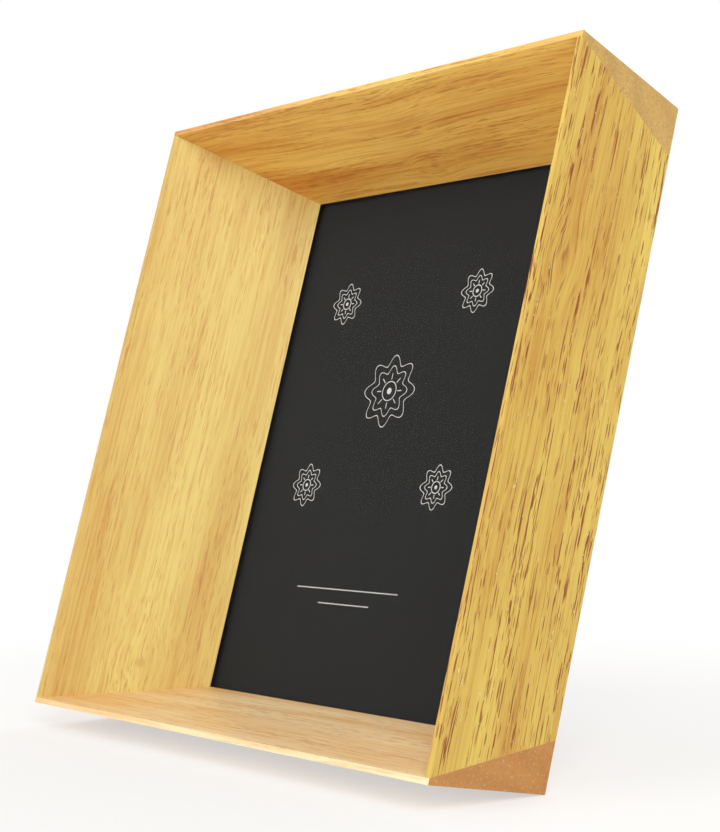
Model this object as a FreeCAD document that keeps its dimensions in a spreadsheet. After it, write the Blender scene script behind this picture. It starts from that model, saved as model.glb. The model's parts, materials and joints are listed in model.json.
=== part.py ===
import FreeCAD, Part
import math
import os
import re

import Sketcher
from FreeCAD import Vector

# Easel back photo frame: a deep wooden display frame for a 10 x 15 cm photo.
# Four wedge-section rails rise from thin front edges to a thick back, where a rebate holds
# glass, card and back board. A strut hinged to the back board folds out and props the frame.
#
# Two sets of axes are used. The frame's own: X to the right, Y from front to back, Z up, with
# the origin in the middle of the front opening. The row's: the same frame leaning back on its
# strut, with the origin on the table, in the middle of the frame's footprint.

# Millimetres, and degrees for the two angles.
SIZES = {
    # the photo, and the pocket that takes it
    "photo_width": 100,
    "photo_height": 150,
    "pane_margin": 1,
    "rebate_play": 0.5,
    "lip_width": 3,
    "glass_thickness": 1.6,
    "card_thickness": 0.3,
    "board_thickness": 2.5,
    # the rails
    "upright_width": 35.7,
    "across_height": 14.8,
    "depth": 38,
    "front_edge": 1.5,
    "side_draw": 0.9,
    "top_draw": 3.7,
    "edge_round": 1,
    # V-nails across the corner joints
    "nail_half_span": 3.5,
    "nail_rise": 6,
    "nail_thickness": 0.7,
    "nail_depth": 7,
    "nail_inset": 8,
    "nail_spacing": 14,
    # turn buttons and their screws
    "button_inset": 9,
    "button_from_end": 30,
    "button_reach": 15,
    "button_radius": 4.5,
    "button_thickness": 0.9,
    "button_play": 0.05,
    "button_rib_radius": 1.4,
    "button_rib_height": 0.5,
    "button_rib_gap": 0.6,
    "screw_radius": 1.45,
    "screw_bite": 9,
    "screw_tip": 2,
    "screw_head_radius": 2.9,
    "screw_head_height": 1.7,
    "screw_head_bevel": 0.9,
    "pilot_room": 0.5,
    # rivets
    "rivet_radius": 1.2,
    "rivet_head_radius": 2.1,
    "rivet_head_height": 0.9,
    "rivet_head_bevel": 0.6,
    "rivet_tail_radius": 2,
    "rivet_tail_height": 0.6,
    # the easel: lean of the frame, opening of the strut, hinge and strut
    "lean_angle": 16,
    "open_angle": 32,
    "pin_level": 20,
    "pin_radius": 1,
    "pin_head_radius": 1.7,
    "pin_head_height": 0.7,
    "turning_play": 0.05,
    "press_play": 0.02,
    "hinge_thickness": 0.8,
    "strut_thickness": 3,
    "strut_play": 0.1,
    "strut_top_width": 15.6,
    "strut_foot_width": 40,
    "leaf_width": 15,
    "leaf_reach": 23,
    "leaf_corner": 3,
    "leaf_rivet_first": 9,
    "leaf_rivet_spacing": 9,
    "bracket_play": 0.45,
    "bracket_lug_radius": 2.6,
    "bracket_flange": 2.4,
    "bracket_length": 13,
    "bracket_heel_room": 1.6,
    "bracket_rivet_spacing": 8.4,
    # the hanger
    "loop_from_end": 17.5,
    "hanger_thickness": 0.8,
    "hanger_width": 7,
    "hanger_reach": 12.5,
    "hanger_corner": 3,
    "hanger_rivet_level": 7.5,
    "ring_play": 0.15,
    "wire_radius": 0.8,
    "ring_half_width": 6,
    "ring_corner": 2,
    # how far cuts run past the wood that they remove
    "overrun": 2,
}

# Sizes worked out from the ones above.
FORMULAS = {
    "pane_width": "photo_width + 2 * pane_margin",
    "pane_height": "photo_height + 2 * pane_margin",
    "rebate_width": "pane_width + 2 * rebate_play",
    "rebate_height": "pane_height + 2 * rebate_play",
    "rebate_depth": "glass_thickness + card_thickness + board_thickness",
    "sight_width": "rebate_width - 2 * lip_width",
    "sight_height": "rebate_height - 2 * lip_width",
    "front_width": "sight_width + 2 * upright_width",
    "front_height": "sight_height + 2 * across_height",
    "front_half_width": "front_width / 2",
    "front_half_height": "front_height / 2",
    "back_half_width": "front_width / 2 - side_draw",
    "back_half_height": "front_height / 2 - top_draw",
    "glass_front": "depth - rebate_depth",
    "card_front": "glass_front + glass_thickness",
    "board_front": "depth - board_thickness",
    # the rails' inner faces: where they start at the front, and where they end at the back
    "upright_front": "front_half_width - front_edge",
    "across_front": "front_half_height - front_edge",
    "upright_back": "upright_front - (upright_front - sight_width / 2) * depth / glass_front",
    "across_back": "across_front - (across_front - sight_height / 2) * depth / glass_front",
    # V-nails: one leg's length, and its sheet measured across and along the frame's height
    "nail_leg": "sqrt(nail_half_span ^ 2 + nail_rise ^ 2)",
    "nail_across": "nail_thickness * nail_leg / nail_rise",
    "nail_along": "nail_thickness * nail_leg / nail_half_span",
    "nail_inner": "rebate_width / 2 + nail_inset",
    "nail_outer": "nail_inner + nail_spacing",
    "button_pivot": "rebate_width / 2 + button_inset",
    "button_level": "pane_height / 2 - button_from_end",
    "screw_seat": "button_thickness + 2 * button_play",
    # the strut, measured from the pin: outside and inside are its faces' distances towards
    # the back board when it is folded flat
    "knuckle_radius": "pin_radius + turning_play + hinge_thickness",
    "strut_outside": "knuckle_radius",
    "strut_inside": "strut_outside + strut_thickness",
    "strut_gap": "strut_play + strut_inside * (1 / cos(open_angle / 2) - 1)",
    "pin_height": "strut_inside + strut_gap",
    "pin_from_front": "depth + pin_height",
    # the bevel above the pin lies flat against the back board when the strut is open
    "heel_outside": "(pin_height - strut_gap - strut_outside * cos(open_angle)) / sin(open_angle)",
    "heel_inside": "(pin_height - strut_gap - strut_inside * cos(open_angle)) / sin(open_angle)",
    "heel_reach": "sqrt(heel_outside ^ 2 + strut_outside ^ 2)",
    # the foot is cut to lie flat on the table
    "foot_angle": "open_angle - lean_angle",
    "pin_above_table": "row_lift - pin_from_front * sin(lean_angle) + pin_level * cos(lean_angle)",
    "foot_outside": "pin_above_table / cos(foot_angle) - strut_outside * tan(foot_angle)",
    "foot_inside": "pin_above_table / cos(foot_angle) - strut_inside * tan(foot_angle)",
    # the hinge bracket
    "bracket_inside": "strut_top_width / 2 + bracket_play",
    "bracket_outside": "bracket_inside + hinge_thickness",
    "bracket_start": "heel_reach + bracket_heel_room",
    "bracket_end": "bracket_start + bracket_length",
    # the hanger's rolled loop
    "loop_level": "pane_height / 2 - loop_from_end",
    "loop_radius": "wire_radius + ring_play + hanger_thickness",
    # the frame's place on the table: its lowest line is on the round of the bottom back edge
    "round_from_front": "depth - edge_round",
    "round_slope": "sqrt(1 + (top_draw / depth) ^ 2)",
    "round_drop": "front_half_height - top_draw / depth * round_from_front - edge_round * round_slope",
    "row_lift": "round_from_front * sin(lean_angle) + round_drop * cos(lean_angle) + edge_round",
    "row_front": "-front_half_height * sin(lean_angle)",
    "foot_forward": "pin_from_front * cos(lean_angle) + pin_level * sin(lean_angle)",
    "row_back": "foot_forward + foot_outside * sin(foot_angle) - strut_outside * cos(foot_angle)",
    "row_shift": "-(row_front + row_back) / 2",
}

NO_TURN = "rotation(vector(1; 0; 0); 0)"
LEANING = "placement(vector(0; row_shift; row_lift); rotation(vector(1; 0; 0); -lean_angle))"
AT_PIN = f"{LEANING} * placement(vector(0; pin_from_front; pin_level); {NO_TURN})"
STRUT_OPEN = (
    f"{LEANING} * placement(vector(0; pin_from_front; pin_level);"
    " rotation(vector(1; 0; 0); open_angle))"
)
AT_LOOP = f"{LEANING} * placement(vector(0; depth + loop_radius; loop_level); {NO_TURN})"

UPRIGHT_AXIS_INDEX, LEVEL_AXIS_INDEX = -2, -1
START_INDEX, END_INDEX, CENTRE_INDEX = 1, 2, 3

doc = FreeCAD.newDocument("easel_back_photo_frame")
sheet = doc.addObject("Spreadsheet::Sheet", "Sizes")


def fill_sheet():
    """Puts each driving size in a cell of its own, under its name."""
    for row, (name, number) in enumerate(SIZES.items(), start=1):
        sheet.set(f"A{row}", name)
        sheet.set(f"B{row}", str(number))
        sheet.setAlias(f"B{row}", name)
    doc.recompute()


def bound(formula):
    """The formula as an expression of the sheet's cells."""

    def written_out(match):
        name = match.group(0)
        if name in FORMULAS:
            return f"({bound(FORMULAS[name])})"
        if name in SIZES:
            return f"Sizes.{name}"
        return name

    return re.sub(r"[a-z][a-z_]*", written_out, formula)


def value(formula):
    return float(sheet.evalExpression(bound(formula)))


def new_body(label, place=LEANING):
    body = doc.addObject("PartDesign::Body", label)
    body.Label = label
    body.setExpression("Placement", bound(place))
    return body


def sketch_on(body, role, where="0"):
    """A sketch on the body's XY, XZ or YZ plane, moved to where along the axis across it."""
    sketch = body.newObject("Sketcher::SketchObject", f"{body.Name}_sketch")
    plane = next(part for part in body.Origin.OriginFeatures if part.Role == role)
    sketch.AttachmentSupport = [(plane, "")]
    sketch.MapMode = "FlatFace"
    # the XZ plane faces -Y
    offset = f"-({where})" if role == "XZ_Plane" else where
    sketch.setExpression("AttachmentOffset.Base.z", bound(offset))
    return sketch


def place_point(sketch, index, point, across, up):
    """Ties a point of the sketch to its two distances from the origin."""
    for kind, formula in (("DistanceX", across), ("DistanceY", up)):
        if formula == "0":
            axis = UPRIGHT_AXIS_INDEX if kind == "DistanceX" else LEVEL_AXIS_INDEX
            sketch.addConstraint(Sketcher.Constraint("PointOnObject", index, point, axis))
            continue
        distance = Sketcher.Constraint(kind, index, point, value(formula))
        number = sketch.addConstraint(distance)
        sketch.setExpression(f"Constraints[{number}]", bound(formula))


def set_radius(sketch, index, radius):
    number = sketch.addConstraint(Sketcher.Constraint("Radius", index, value(radius)))
    sketch.setExpression(f"Constraints[{number}]", bound(radius))


def draw_outline(sketch, points):
    """A closed outline of straight lines through the points."""
    first = sketch.GeometryCount
    corners = [Vector(value(across), value(up), 0) for across, up in points]
    count = len(corners)
    for index, corner in enumerate(corners):
        sketch.addGeometry(Part.LineSegment(corner, corners[(index + 1) % count]), False)
    for index in range(count):
        after = first + (index + 1) % count
        sketch.addConstraint(
            Sketcher.Constraint("Coincident", first + index, END_INDEX, after, START_INDEX)
        )
    for index, (across, up) in enumerate(points):
        place_point(sketch, first + index, START_INDEX, across, up)


def draw_box(sketch, left, bottom, right, top):
    draw_outline(sketch, [(left, bottom), (right, bottom), (right, top), (left, top)])


def circle_at(across, up, radius):
    return Part.Circle(Vector(value(across), value(up), 0), Vector(0, 0, 1), value(radius))


def draw_circle(sketch, across, up, radius):
    index = sketch.addGeometry(circle_at(across, up, radius), False)
    place_point(sketch, index, CENTRE_INDEX, across, up)
    set_radius(sketch, index, radius)


def draw_slot(sketch, left, right, radius):
    """A round-ended slot on the sketch's X axis, between the centres left and right."""
    reach = value(radius)
    low_left = Vector(value(left), -reach, 0)
    low_right = Vector(value(right), -reach, 0)
    high_left = Vector(value(left), reach, 0)
    high_right = Vector(value(right), reach, 0)
    left_circle = circle_at(left, "0", radius)
    right_circle = circle_at(right, "0", radius)
    left_arc = sketch.addGeometry(
        Part.ArcOfCircle(left_circle, math.pi / 2, 3 * math.pi / 2), False
    )
    low = sketch.addGeometry(Part.LineSegment(low_left, low_right), False)
    right_arc = sketch.addGeometry(
        Part.ArcOfCircle(right_circle, -math.pi / 2, math.pi / 2), False
    )
    high = sketch.addGeometry(Part.LineSegment(high_right, high_left), False)
    ring = [left_arc, low, right_arc, high]
    for index, line in enumerate(ring):
        after = ring[(index + 1) % len(ring)]
        sketch.addConstraint(Sketcher.Constraint("Tangent", line, END_INDEX, after, START_INDEX))
    sketch.addConstraint(Sketcher.Constraint("Equal", left_arc, right_arc))
    place_point(sketch, left_arc, CENTRE_INDEX, left, "0")
    place_point(sketch, right_arc, CENTRE_INDEX, right, "0")
    set_radius(sketch, left_arc, radius)


def pad(body, sketch, length, both_ways=False, backward=False):
    feature = body.newObject("PartDesign::Pad", f"{body.Name}_pad")
    feature.Profile = sketch
    feature.setExpression("Length", bound(length))
    feature.SideType = "Symmetric" if both_ways else "One side"
    feature.Reversed = backward
    doc.recompute()


def cut(body, sketch, length, both_ways=False):
    """A pocket, which goes against the sketch plane's own direction: +Y from the XZ plane."""
    doc.recompute()
    volume = body.Shape.Volume
    feature = body.newObject("PartDesign::Pocket", f"{body.Name}_pocket")
    feature.Profile = sketch
    feature.setExpression("Length", bound(length))
    feature.SideType = "Symmetric" if both_ways else "One side"
    doc.recompute()
    if not body.Shape.Volume < volume:
        raise RuntimeError(f"{feature.Label} removes nothing from {body.Label}")


def spin(body, sketch, axis):
    feature = body.newObject("PartDesign::Revolution", f"{body.Name}_revolution")
    feature.Profile = sketch
    feature.ReferenceAxis = (sketch, [axis])
    feature.Angle = 360
    doc.recompute()


def picked_edges(body, chosen):
    """The body's last feature, with the names of those of its edges that chosen picks."""
    base = body.Tip
    edges = enumerate(base.Shape.Edges, start=1)
    return base, [f"Edge{number}" for number, edge in edges if chosen(edge)]


def round_edges(body, radius, chosen):
    base, names = picked_edges(body, chosen)
    feature = body.newObject("PartDesign::Fillet", f"{body.Name}_fillet")
    feature.Base = (base, names)
    feature.setExpression("Radius", bound(radius))
    doc.recompute()


def bevel_edges(body, size, chosen):
    base, names = picked_edges(body, chosen)
    feature = body.newObject("PartDesign::Chamfer", f"{body.Name}_chamfer")
    feature.Base = (base, names)
    feature.setExpression("Size", bound(size))
    doc.recompute()


def same(first, second):
    return round(first - second, 6) == 0


def nail_outline(centre, side):
    """One V-nail, seen from behind, across the joint above (side 1) or below (side -1)."""
    joint = f"{side} * across_back"
    wings = f"{joint} + {side} * nail_rise / 2"
    apex = f"{joint} - {side} * nail_rise / 2"
    return [
        (f"{centre} - nail_half_span", wings),
        (f"{centre} - nail_half_span + nail_across", wings),
        (centre, f"{apex} + {side} * nail_along"),
        (f"{centre} + nail_half_span - nail_across", wings),
        (f"{centre} + nail_half_span", wings),
        (centre, apex),
    ]


def nail_outlines(uprights, sides):
    return [
        nail_outline(f"{upright} * {place}", side)
        for upright in uprights
        for side in sides
        for place in ("nail_inner", "nail_outer")
    ]


def cut_nail_slots(body, uprights, sides):
    sketch = sketch_on(body, "XZ_Plane", "depth - nail_depth")
    for outline in nail_outlines(uprights, sides):
        draw_outline(sketch, outline)
    cut(body, sketch, "nail_depth + overrun")


def cut_rebate(body):
    sketch = sketch_on(body, "XZ_Plane", "glass_front")
    draw_box(
        sketch,
        "-rebate_width / 2", "-rebate_height / 2", "rebate_width / 2", "rebate_height / 2",
    )
    cut(body, sketch, "rebate_depth + overrun")


def rail_across(label, side):
    """The top (side 1) or bottom (side -1) rail, which runs the frame's full width."""
    body = new_body(label)
    section = sketch_on(body, "YZ_Plane")
    draw_outline(section, [
        ("0", f"{side} * across_front"),
        ("0", f"{side} * front_half_height"),
        ("depth", f"{side} * back_half_height"),
        ("depth", f"{side} * across_back"),
    ])
    pad(body, section, "front_width", both_ways=True)

    ends = sketch_on(body, "XY_Plane")
    for end in (-1, 1):
        draw_outline(ends, [
            (f"{end} * front_half_width", "0"),
            (f"{end} * back_half_width", "depth"),
            (f"{end} * back_half_width", "depth + overrun"),
            (f"{end} * (front_half_width + overrun)", "depth + overrun"),
            (f"{end} * (front_half_width + overrun)", "0"),
        ])
    cut(body, ends, "2 * front_height", both_ways=True)
    cut_rebate(body)
    cut_nail_slots(body, (-1, 1), (side,))

    def outer_back_edge(edge):
        centre = edge.CenterOfMass
        at_back = same(centre.y, value("depth")) and same(edge.BoundBox.YLength, 0)
        on_long_side = same(centre.z, side * value("back_half_height"))
        on_end = same(abs(centre.x), value("back_half_width"))
        return at_back and (on_long_side or on_end)

    round_edges(body, "edge_round", outer_back_edge)


def rail_upright(label, side):
    """The right (side 1) or left (side -1) rail, fitted between the top and bottom rails."""
    body = new_body(label)
    section = sketch_on(body, "XY_Plane")
    draw_outline(section, [
        (f"{side} * upright_front", "0"),
        (f"{side} * front_half_width", "0"),
        (f"{side} * back_half_width", "depth"),
        (f"{side} * upright_back", "depth"),
    ])
    pad(body, section, "front_height", both_ways=True)

    ends = sketch_on(body, "YZ_Plane")
    for end in (-1, 1):
        draw_outline(ends, [
            ("0", f"{end} * across_front"),
            ("depth", f"{end} * across_back"),
            ("depth + overrun", f"{end} * across_back"),
            ("depth + overrun", f"{end} * (front_half_height + overrun)"),
            ("-overrun", f"{end} * (front_half_height + overrun)"),
            ("-overrun", f"{end} * across_front"),
        ])
    cut(body, ends, "2 * front_width", both_ways=True)
    cut_rebate(body)
    cut_nail_slots(body, (side,), (-1, 1))

    pilots = sketch_on(body, "XZ_Plane", "depth - screw_bite - pilot_room")
    for level in (-1, 1):
        draw_circle(
            pilots,
            f"{side} * button_pivot", f"{level} * button_level", "screw_radius + press_play",
        )
    cut(body, pilots, "screw_bite + pilot_room + overrun")

    def outer_back_edge(edge):
        centre = edge.CenterOfMass
        at_back = same(centre.y, value("depth")) and same(edge.BoundBox.YLength, 0)
        return at_back and same(abs(centre.x), value("back_half_width"))

    round_edges(body, "edge_round", outer_back_edge)


def v_nails():
    body = new_body("v_nails")
    sketch = sketch_on(body, "XZ_Plane", "depth")
    for outline in nail_outlines((-1, 1), (-1, 1)):
        draw_outline(sketch, outline)
    pad(body, sketch, "nail_depth")


def pane(label, front, thickness):
    """A flat sheet that fills the rebate's outline: the glass and the display card."""
    sheet_of = doc.addObject("Part::Box", label)
    sheet_of.Label = label
    sheet_of.setExpression("Length", bound("pane_width"))
    sheet_of.setExpression("Width", bound(thickness))
    sheet_of.setExpression("Height", bound("pane_height"))
    corner = f"placement(vector(-pane_width / 2; {front}; -pane_height / 2); {NO_TURN})"
    sheet_of.setExpression("Placement", bound(f"{LEANING} * {corner}"))


def cut_rivet_holes(body, face, thickness, centres, sunk=True):
    """Holes from the flat face at y = face, with a recess there for the rivets' flat tails."""
    holes = sketch_on(body, "XZ_Plane", face)
    for across, up in centres:
        draw_circle(holes, across, up, "rivet_radius + press_play")
    cut(body, holes, f"{thickness} + overrun")
    if sunk:
        recesses = sketch_on(body, "XZ_Plane", face)
        for across, up in centres:
            draw_circle(recesses, across, up, "rivet_tail_radius + press_play")
        cut(body, recesses, "rivet_tail_height")


def bracket_rivet_centres():
    middle = "(bracket_start + bracket_end) / 2"
    return [(f"{side} * bracket_rivet_spacing / 2", middle) for side in (-1, 1)]


def leaf_rivet_centres():
    return [("0", "-leaf_rivet_first"), ("0", "-leaf_rivet_first - leaf_rivet_spacing")]


def back_board():
    body = new_body("back_board")
    outline = sketch_on(body, "XZ_Plane", "depth")
    draw_box(
        outline, "-pane_width / 2", "-pane_height / 2", "pane_width / 2", "pane_height / 2"
    )
    pad(body, outline, "board_thickness")
    centres = [(across, f"pin_level + {up}") for across, up in bracket_rivet_centres()]
    centres.append(("0", "loop_level + hanger_rivet_level"))
    cut_rivet_holes(body, "board_front", "board_thickness", centres)


def rivets(label, place, grip, centres):
    """Rivets along Y: a domed head on the plane y = 0, and a flat tail sunk in at -grip."""
    body = new_body(label, place)
    parts = (
        ("0", "rivet_radius", grip, False),
        ("0", "rivet_head_radius", "rivet_head_height", True),
        (f"rivet_tail_height - ({grip})", "rivet_tail_radius", "rivet_tail_height", False),
    )
    for where, radius, length, backward in parts:
        sketch = sketch_on(body, "XZ_Plane", where)
        for across, up in centres:
            draw_circle(sketch, across, up, radius)
        pad(body, sketch, length, backward=backward)
    head_top = value("rivet_head_height")
    bevel_edges(body, "rivet_head_bevel", lambda edge: same(edge.CenterOfMass.y, head_top))


def hinge_bracket():
    """A pressed bracket: a base on the back board, and two ears beside the strut's heel."""
    body = new_body("hinge_bracket", AT_PIN)
    base = sketch_on(body, "YZ_Plane")
    draw_box(base, "-pin_height", "bracket_start", "hinge_thickness - pin_height", "bracket_end")
    pad(body, base, "2 * bracket_outside", both_ways=True)

    flange = sketch_on(body, "YZ_Plane")
    draw_outline(flange, [
        ("-pin_height", "bracket_start"),
        ("-bracket_lug_radius", "0"),
        ("bracket_lug_radius", "0"),
        ("bracket_flange - pin_height", "bracket_end"),
        ("-pin_height", "bracket_end"),
    ])
    pad(body, flange, "2 * bracket_outside", both_ways=True)

    lug = sketch_on(body, "YZ_Plane")
    draw_circle(lug, "0", "0", "bracket_lug_radius")
    pad(body, lug, "2 * bracket_outside", both_ways=True)

    between = sketch_on(body, "YZ_Plane")
    draw_box(
        between,
        "hinge_thickness - pin_height", "-bracket_lug_radius - overrun",
        "bracket_lug_radius + overrun", "bracket_end + overrun",
    )
    cut(body, between, "2 * bracket_inside", both_ways=True)

    below = sketch_on(body, "YZ_Plane")
    draw_box(
        below,
        "-pin_height - overrun", "-bracket_lug_radius - overrun",
        "hinge_thickness - pin_height", "bracket_start",
    )
    cut(body, below, "2 * bracket_inside", both_ways=True)

    eyes = sketch_on(body, "YZ_Plane")
    draw_circle(eyes, "0", "0", "pin_radius + turning_play")
    cut(body, eyes, "2 * bracket_outside + overrun", both_ways=True)
    cut_rivet_holes(body, "-pin_height", "hinge_thickness", bracket_rivet_centres(), sunk=False)


def hinge_pin():
    body = new_body("hinge_pin", AT_PIN)
    outline = sketch_on(body, "XY_Plane")
    shoulder = "bracket_outside + turning_play"
    draw_outline(outline, [
        (f"-({shoulder}) - pin_head_height", "0"),
        (f"-({shoulder}) - pin_head_height", "pin_head_radius"),
        (f"-({shoulder})", "pin_head_radius"),
        (f"-({shoulder})", "pin_radius"),
        (shoulder, "pin_radius"),
        (shoulder, "pin_head_radius"),
        (f"{shoulder} + pin_head_height", "pin_head_radius"),
        (f"{shoulder} + pin_head_height", "0"),
    ])
    spin(body, outline, "H_Axis")


def rolled_leaf(label, place, eye_radius, leaf, centres):
    """A sheet leaf whose end is rolled into an eye about the X axis.

    leaf holds the sheet's thickness, width, reach from the eye, its sign along Z and the
    radius of its far corners. The sheet lies on the side of the eye that faces the frame.
    """
    thickness, width, reach, side, corner = leaf
    body = new_body(label, place)
    outer = f"({eye_radius} + {thickness})"
    plate = sketch_on(body, "YZ_Plane")
    draw_box(plate, f"-{outer}", "0", f"{thickness} - {outer}", f"{side} * {reach}")
    pad(body, plate, width, both_ways=True)
    roll = sketch_on(body, "YZ_Plane")
    draw_circle(roll, "0", "0", outer)
    pad(body, roll, width, both_ways=True)
    eye = sketch_on(body, "YZ_Plane")
    draw_circle(eye, "0", "0", eye_radius)
    cut(body, eye, f"{width} + overrun", both_ways=True)
    cut_rivet_holes(body, f"-{outer}", thickness, centres, sunk=False)

    def far_corner(edge):
        centre = edge.CenterOfMass
        at_end = same(centre.z, side * value(reach)) and same(edge.BoundBox.ZLength, 0)
        return at_end and same(abs(centre.x), value(f"{width} / 2"))

    round_edges(body, corner, far_corner)


def strut():
    """The folding leg: bevelled above the pin, widening to a foot cut flat for the table."""
    body = new_body("strut", STRUT_OPEN)
    side_view = sketch_on(body, "YZ_Plane")
    draw_outline(side_view, [
        ("-strut_outside", "heel_outside"),
        ("-strut_outside", "-foot_outside"),
        ("-strut_inside", "-foot_inside"),
        ("-strut_inside", "heel_inside"),
    ])
    pad(body, side_view, "strut_foot_width", both_ways=True)

    sides = sketch_on(body, "XZ_Plane", "-strut_inside - overrun")
    for side in (-1, 1):
        draw_outline(sides, [
            (f"{side} * strut_top_width / 2", "heel_outside + overrun"),
            (f"{side} * strut_top_width / 2", "-leaf_reach"),
            (f"{side} * strut_foot_width / 2", "-foot_inside"),
            (f"{side} * (strut_foot_width / 2 + overrun)", "-foot_inside"),
            (f"{side} * (strut_foot_width / 2 + overrun)", "heel_outside + overrun"),
        ])
    cut(body, sides, "strut_thickness + 2 * overrun")
    cut_rivet_holes(body, "-strut_inside", "strut_thickness", leaf_rivet_centres())


def hanger_ring():
    """A D-ring of wire: a bar in the strap's loop, two tight corners and a half circle below."""
    bar_end = "(ring_half_width - ring_corner)"
    upwards = "rotation(vector(1; 0; 0); 90)"
    downwards = "rotation(vector(1; 0; 0); -90)"
    quarter_on = "placement(vector(0; 0; 0); rotation(vector(0; 0; 1); 90))"
    bends = (
        ("ring_right_corner", "ring_corner", 90,
         f"placement(vector({bar_end}; 0; -ring_corner); {upwards})"),
        ("ring_left_corner", "ring_corner", 90,
         f"placement(vector(-{bar_end}; 0; -ring_corner); {upwards}) * {quarter_on}"),
        ("ring_bow", "ring_half_width", 180,
         f"placement(vector(0; 0; -ring_corner); {downwards})"),
    )
    wires = []
    for name, radius, sweep, place in bends:
        bend = doc.addObject("Part::Torus", name)
        bend.setExpression("Radius1", bound(radius))
        bend.setExpression("Radius2", bound("wire_radius"))
        bend.Angle3 = sweep
        bend.setExpression("Placement", bound(place))
        wires.append(bend)
    bar = doc.addObject("Part::Cylinder", "ring_bar")
    bar.setExpression("Radius", bound("wire_radius"))
    bar.setExpression("Height", bound(f"2 * {bar_end}"))
    along = f"placement(vector(-{bar_end}; 0; 0); rotation(vector(0; 1; 0); 90))"
    bar.setExpression("Placement", bound(along))
    wires.append(bar)

    ring = doc.addObject("Part::MultiFuse", "hanger_ring")
    ring.Label = "hanger_ring"
    ring.Shapes = wires
    hanging = "rotation(vector(1; 0; 0); lean_angle)"
    place = f"{LEANING} * placement(vector(0; depth + loop_radius; loop_level); {hanging})"
    ring.setExpression("Placement", bound(place))


def turned_to(side, height):
    """The placement of something on a turn button's pivot, height above the rail's back."""
    turn = 0 if side == 1 else 180
    return (
        f"placement(vector({side} * button_pivot; depth + {height}; LEVEL * button_level);"
        f" rotation(vector(0; 1; 0); {turn}))"
    )


def turn_button(name, side, level):
    place = turned_to(side, "button_play").replace("LEVEL", str(level))
    body = new_body(f"turn_button_{name}", f"{LEANING} * {place}")
    plate = sketch_on(body, "XZ_Plane")
    draw_slot(plate, "-button_reach", "0", "button_radius")
    pad(body, plate, "button_thickness", backward=True)
    rib = sketch_on(body, "XZ_Plane", "button_thickness")
    rib_start = "-(screw_head_radius + button_rib_gap + button_rib_radius)"
    draw_slot(rib, "-button_reach", rib_start, "button_rib_radius")
    pad(body, rib, "button_rib_height", backward=True)
    hole = sketch_on(body, "XZ_Plane", "-overrun")
    draw_circle(hole, "0", "0", "screw_radius + turning_play")
    cut(body, hole, "button_thickness + 2 * overrun")
    rib_top = value("button_thickness + button_rib_height")
    bevel_edges(
        body,
        "button_rib_height / 2",
        lambda edge: same(edge.CenterOfMass.y, rib_top) and same(edge.BoundBox.YLength, 0),
    )


def screw(name, side, level):
    place = turned_to(side, "screw_seat").replace("LEVEL", str(level))
    body = new_body(f"screw_{name}", f"{LEANING} * {place}")
    profile = sketch_on(body, "XY_Plane")
    point = "-screw_seat - screw_bite"
    draw_outline(profile, [
        ("0", "screw_head_height"),
        ("screw_head_radius", "screw_head_height"),
        ("screw_head_radius", "0"),
        ("screw_radius", "0"),
        ("screw_radius", f"{point} + screw_tip"),
        ("0", point),
    ])
    spin(body, profile, "V_Axis")
    head_top = value("screw_head_height")
    bevel_edges(body, "screw_head_bevel", lambda edge: same(edge.CenterOfMass.y, head_top))


def check_document():
    """Stops the run if any feature failed or any piece has no valid solid."""
    for thing in doc.Objects:
        if "Invalid" in thing.State or "Error" in thing.State:
            raise RuntimeError(f"{thing.Label} failed: {thing.State}")
    pieces = [thing for thing in doc.Objects if thing.TypeId in PIECE_TYPES]
    for piece in pieces:
        shape = piece.Shape
        if shape.isNull() or not shape.isValid() or not shape.Solids:
            raise RuntimeError(f"{piece.Label} has no valid solid")
        print(f"{piece.Label}: {len(shape.Solids)} solids, {shape.Volume:.1f} mm3")
    return pieces


def write_pieces(pieces):
    os.makedirs("parts", exist_ok=True)
    for piece in pieces:
        piece.Shape.exportStep(f"parts/{piece.Label}.step")


PIECE_TYPES = ("PartDesign::Body", "Part::Box", "Part::MultiFuse")
CORNERS = (
    ("top_left", -1, 1),
    ("top_right", 1, 1),
    ("bottom_left", -1, -1),
    ("bottom_right", 1, -1),
)

fill_sheet()

rail_across("top_rail", 1)
rail_across("bottom_rail", -1)
rail_upright("left_rail", -1)
rail_upright("right_rail", 1)
v_nails()

pane("glass_pane", "glass_front", "glass_thickness")
pane("display_card", "card_front", "card_thickness")
back_board()

hinge_bracket()
hinge_pin()
rivets(
    "bracket_rivets",
    f"{AT_PIN} * placement(vector(0; hinge_thickness - pin_height; 0); {NO_TURN})",
    "hinge_thickness + board_thickness",
    bracket_rivet_centres(),
)

strut()
rolled_leaf(
    "strut_leaf",
    STRUT_OPEN,
    "(pin_radius + turning_play)",
    ("hinge_thickness", "leaf_width", "leaf_reach", -1, "leaf_corner"),
    leaf_rivet_centres(),
)
rivets(
    "strut_rivets",
    f"{STRUT_OPEN} * placement(vector(0; hinge_thickness - strut_outside; 0); {NO_TURN})",
    "hinge_thickness + strut_thickness",
    leaf_rivet_centres(),
)

rolled_leaf(
    "hanger_strap",
    AT_LOOP,
    "(wire_radius + ring_play)",
    ("hanger_thickness", "hanger_width", "hanger_reach", 1, "hanger_corner"),
    [("0", "hanger_rivet_level")],
)
rivets(
    "hanger_rivet",
    f"{AT_LOOP} * placement(vector(0; hanger_thickness - loop_radius; 0); {NO_TURN})",
    "hanger_thickness + board_thickness",
    [("0", "hanger_rivet_level")],
)
hanger_ring()

for corner_name, across_side, up_side in CORNERS:
    turn_button(corner_name, across_side, up_side)
    screw(corner_name, across_side, up_side)

doc.recompute()
write_pieces(check_document())
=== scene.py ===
import json
from collections import namedtuple
from math import cos, pi, radians, sin

import bmesh
import bpy
from bpy.props import FloatProperty, FloatVectorProperty, IntProperty, PointerProperty
from mathutils import Matrix, Vector


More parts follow.
